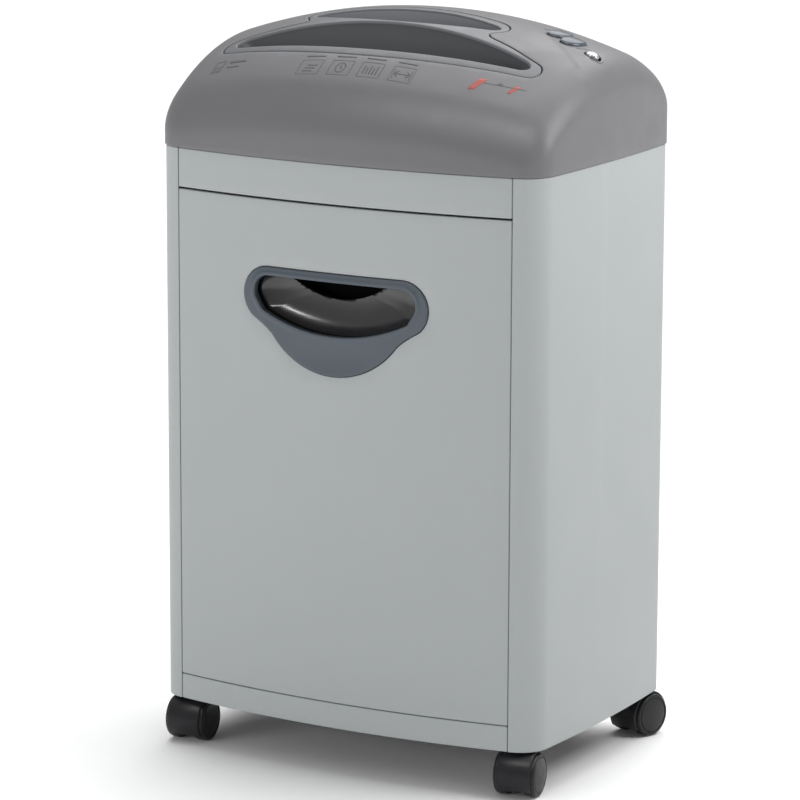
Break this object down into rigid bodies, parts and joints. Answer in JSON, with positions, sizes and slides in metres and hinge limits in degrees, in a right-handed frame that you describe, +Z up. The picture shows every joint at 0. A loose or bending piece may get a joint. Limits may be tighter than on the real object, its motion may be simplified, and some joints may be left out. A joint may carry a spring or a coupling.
{
  "type": "paper shredder",
  "caption": "Free-standing paper and disc shredder: a domed head with two feed throats on a cabinet with a pull-out bin, on twin-wheel casters.",
  "frame": {"origin": "centre of the bounding box on the floor, under the cabinet", "axes": "+X to the machine's right as seen from its front, the bin's front faces -Y, +Z up"},
  "size_m": [0.352, 0.2523, 0.5954],
  "materials": {
    "head_plastic": "fine satin, moulded",
    "insert_plastic": "fine satin, moulded",
    "cabinet_paint": "satin",
    "blue_grey_plastic": "satin",
    "gloss_black": "high gloss",
    "black_plastic": "satin",
    "clear_lens": "polished",
    "steel": "machined",
    "zinc_plate": "zinc plated sheet",
    "nylon": "natural nylon",
    "circuit_board": "solder mask"
  },
  "bodies": {
    "cabinet": {"head_cover": "head_plastic", "throat_insert": "insert_plastic", "head_base": "head_plastic", "lamp_lens": "clear_lens", "control_board": "circuit_board", "power_board": "circuit_board", "run_capacitor": "nylon", "paper_sensor": "black_plastic", "disc_sensor": "black_plastic", "left_cutter_plate": "zinc_plate", "right_cutter_plate": "zinc_plate", "left_bearing_block": "nylon", "right_bearing_block": "nylon", "front_comb": "black_plastic", "rear_comb": "black_plastic", "front_tie_rod": "steel", "rear_tie_rod": "steel", "front_feed_guide": "zinc_plate", "feed_divider": "zinc_plate", "rear_feed_guide": "zinc_plate", "motor_case": "zinc_plate", "gear_pin": "steel", "gear_guard": "zinc_plate", "left_panel": "cabinet_paint", "right_panel": "cabinet_paint", "back_panel": "cabinet_paint", "cabinet_base": "black_plastic", "front_strip": "cabinet_paint", "plinth_strip": "cabinet_paint", "left_runner": "zinc_plate", "right_runner": "zinc_plate", "power_inlet": "black_plastic", "interlock_switch": "black_plastic"},
    "bin": {"bin_front": "cabinet_paint", "bin_tub": "black_plastic", "handle_bezel": "blue_grey_plastic", "handle_bowl": "gloss_black"},
    "forward_button": {"forward_button": "blue_grey_plastic"},
    "reverse_button": {"reverse_button": "blue_grey_plastic"},
    "rear_cutter": {"rear_cutter_shaft": "steel", "rear_sync_gear": "steel", "drive_gear": "steel"},
    "front_cutter": {"front_cutter_shaft": "steel", "front_sync_gear": "steel"},
    "reduction_gear": {"reduction_gear": "nylon"},
    "motor_rotor": {"motor_rotor": "steel"},
    "interlock_plunger": {"interlock_plunger": "nylon"},
    "caster_front_left": {"caster_hood_front_left": "black_plastic"},
    "wheel_front_left_left": {"caster_wheel_front_left_left": "black_plastic"},
    "wheel_front_left_right": {"caster_wheel_front_left_right": "black_plastic"},
    "caster_front_right": {"caster_hood_front_right": "black_plastic"},
    "wheel_front_right_left": {"caster_wheel_front_right_left": "black_plastic"},
    "wheel_front_right_right": {"caster_wheel_front_right_right": "black_plastic"},
    "caster_rear_left": {"caster_hood_rear_left": "black_plastic"},
    "wheel_rear_left_left": {"caster_wheel_rear_left_left": "black_plastic"},
    "wheel_rear_left_right": {"caster_wheel_rear_left_right": "black_plastic"},
    "caster_rear_right": {"caster_hood_rear_right": "black_plastic"},
    "wheel_rear_right_left": {"caster_wheel_rear_right_left": "black_plastic"},
    "wheel_rear_right_right": {"caster_wheel_rear_right_right": "black_plastic"}
  },
  "joints": [
    {"name": "bin_slide", "type": "slide", "parent": "cabinet", "child": "bin", "axis": [0, -1, 0], "range_m": [0, 0.2]},
    {"name": "forward_press", "type": "slide", "parent": "cabinet", "child": "forward_button", "axis": [0, 0, -1], "range_m": [0, 0.0022], "stiffness_N_per_m": 300, "springref_m": -0.001},
    {"name": "reverse_press", "type": "slide", "parent": "cabinet", "child": "reverse_button", "axis": [0, 0, -1], "range_m": [0, 0.0022], "stiffness_N_per_m": 300, "springref_m": -0.001},
    {"name": "rear_cutter_turn", "type": "hinge", "parent": "cabinet", "child": "rear_cutter", "pos_m": [0, -0.0205, 0.514], "axis": [1, 0, 0], "continuous": true},
    {"name": "front_cutter_turn", "type": "hinge", "parent": "cabinet", "child": "front_cutter", "pos_m": [0, -0.0495, 0.514], "axis": [1, 0, 0], "continuous": true},
    {"name": "reduction_turn", "type": "hinge", "parent": "cabinet", "child": "reduction_gear", "pos_m": [0.13, 0.00442, 0.52562], "axis": [1, 0, 0], "continuous": true},
    {"name": "motor_turn", "type": "hinge", "parent": "cabinet", "child": "motor_rotor", "pos_m": [0.12, 0.03567, 0.52562], "axis": [1, 0, 0], "continuous": true},
    {"name": "interlock_press", "type": "slide", "parent": "cabinet", "child": "interlock_plunger", "axis": [0, 1, 0], "range_m": [0, 0.0025], "stiffness_N_per_m": 150, "springref_m": -0.0005},
    {"name": "caster_swivel_front_left", "type": "hinge", "parent": "cabinet", "child": "caster_front_left", "pos_m": [-0.151, -0.081, 0.045], "axis": [0, 0, 1], "continuous": true},
    {"name": "wheel_turn_front_left_left", "type": "hinge", "parent": "caster_front_left", "child": "wheel_front_left_left", "pos_m": [-0.16068, -0.09803, 0.0175], "axis": [0.9952, 0.0978, 0], "continuous": true},
    {"name": "wheel_turn_front_left_right", "type": "hinge", "parent": "caster_front_left", "child": "wheel_front_left_right", "pos_m": [-0.13819, -0.09582, 0.0175], "axis": [0.9952, 0.0978, 0], "continuous": true},
    {"name": "caster_swivel_front_right", "type": "hinge", "parent": "cabinet", "child": "caster_front_right", "pos_m": [0.151, -0.081, 0.045], "axis": [0, 0, 1], "continuous": true},
    {"name": "wheel_turn_front_right_left", "type": "hinge", "parent": "caster_front_right", "child": "wheel_front_right_left", "pos_m": [0.14245, -0.09862, 0.0175], "axis": [0.9867, 0.1623, 0], "continuous": true},
    {"name": "wheel_turn_front_right_right", "type": "hinge", "parent": "caster_front_right", "child": "wheel_front_right_right", "pos_m": [0.16475, -0.09495, 0.0175], "axis": [0.9867, 0.1623, 0], "continuous": true},
    {"name": "caster_swivel_rear_left", "type": "hinge", "parent": "cabinet", "child": "caster_rear_left", "pos_m": [-0.151, 0.088, 0.045], "axis": [0, 0, 1], "continuous": true},
    {"name": "wheel_turn_rear_left_left", "type": "hinge", "parent": "caster_rear_left", "child": "wheel_rear_left_left", "pos_m": [-0.1431, 0.10593, 0.0175], "axis": [-0.9801, -0.1987, 0], "continuous": true},
    {"name": "wheel_turn_rear_left_right", "type": "hinge", "parent": "caster_rear_left", "child": "wheel_rear_left_right", "pos_m": [-0.16525, 0.10144, 0.0175], "axis": [-0.9801, -0.1987, 0], "continuous": true},
    {"name": "caster_swivel_rear_right", "type": "hinge", "parent": "cabinet", "child": "caster_rear_right", "pos_m": [0.151, 0.088, 0.045], "axis": [0, 0, 1], "continuous": true},
    {"name": "wheel_turn_rear_right_left", "type": "hinge", "parent": "caster_rear_right", "child": "wheel_rear_right_left", "pos_m": [0.16616, 0.10041, 0.0175], "axis": [-0.9638, 0.2667, 0], "continuous": true},
    {"name": "wheel_turn_rear_right_right", "type": "hinge", "parent": "caster_rear_right", "child": "wheel_rear_right_right", "pos_m": [0.14438, 0.10643, 0.0175], "axis": [-0.9638, 0.2667, 0], "continuous": true}
  ],
  "couplings": [
    {"joint": "front_cutter_turn", "follows": "rear_cutter_turn", "ratio": -1},
    {"joint": "reduction_turn", "follows": "rear_cutter_turn", "ratio": -2.1429},
    {"joint": "motor_turn", "follows": "rear_cutter_turn", "ratio": 5.5102}
  ]
}
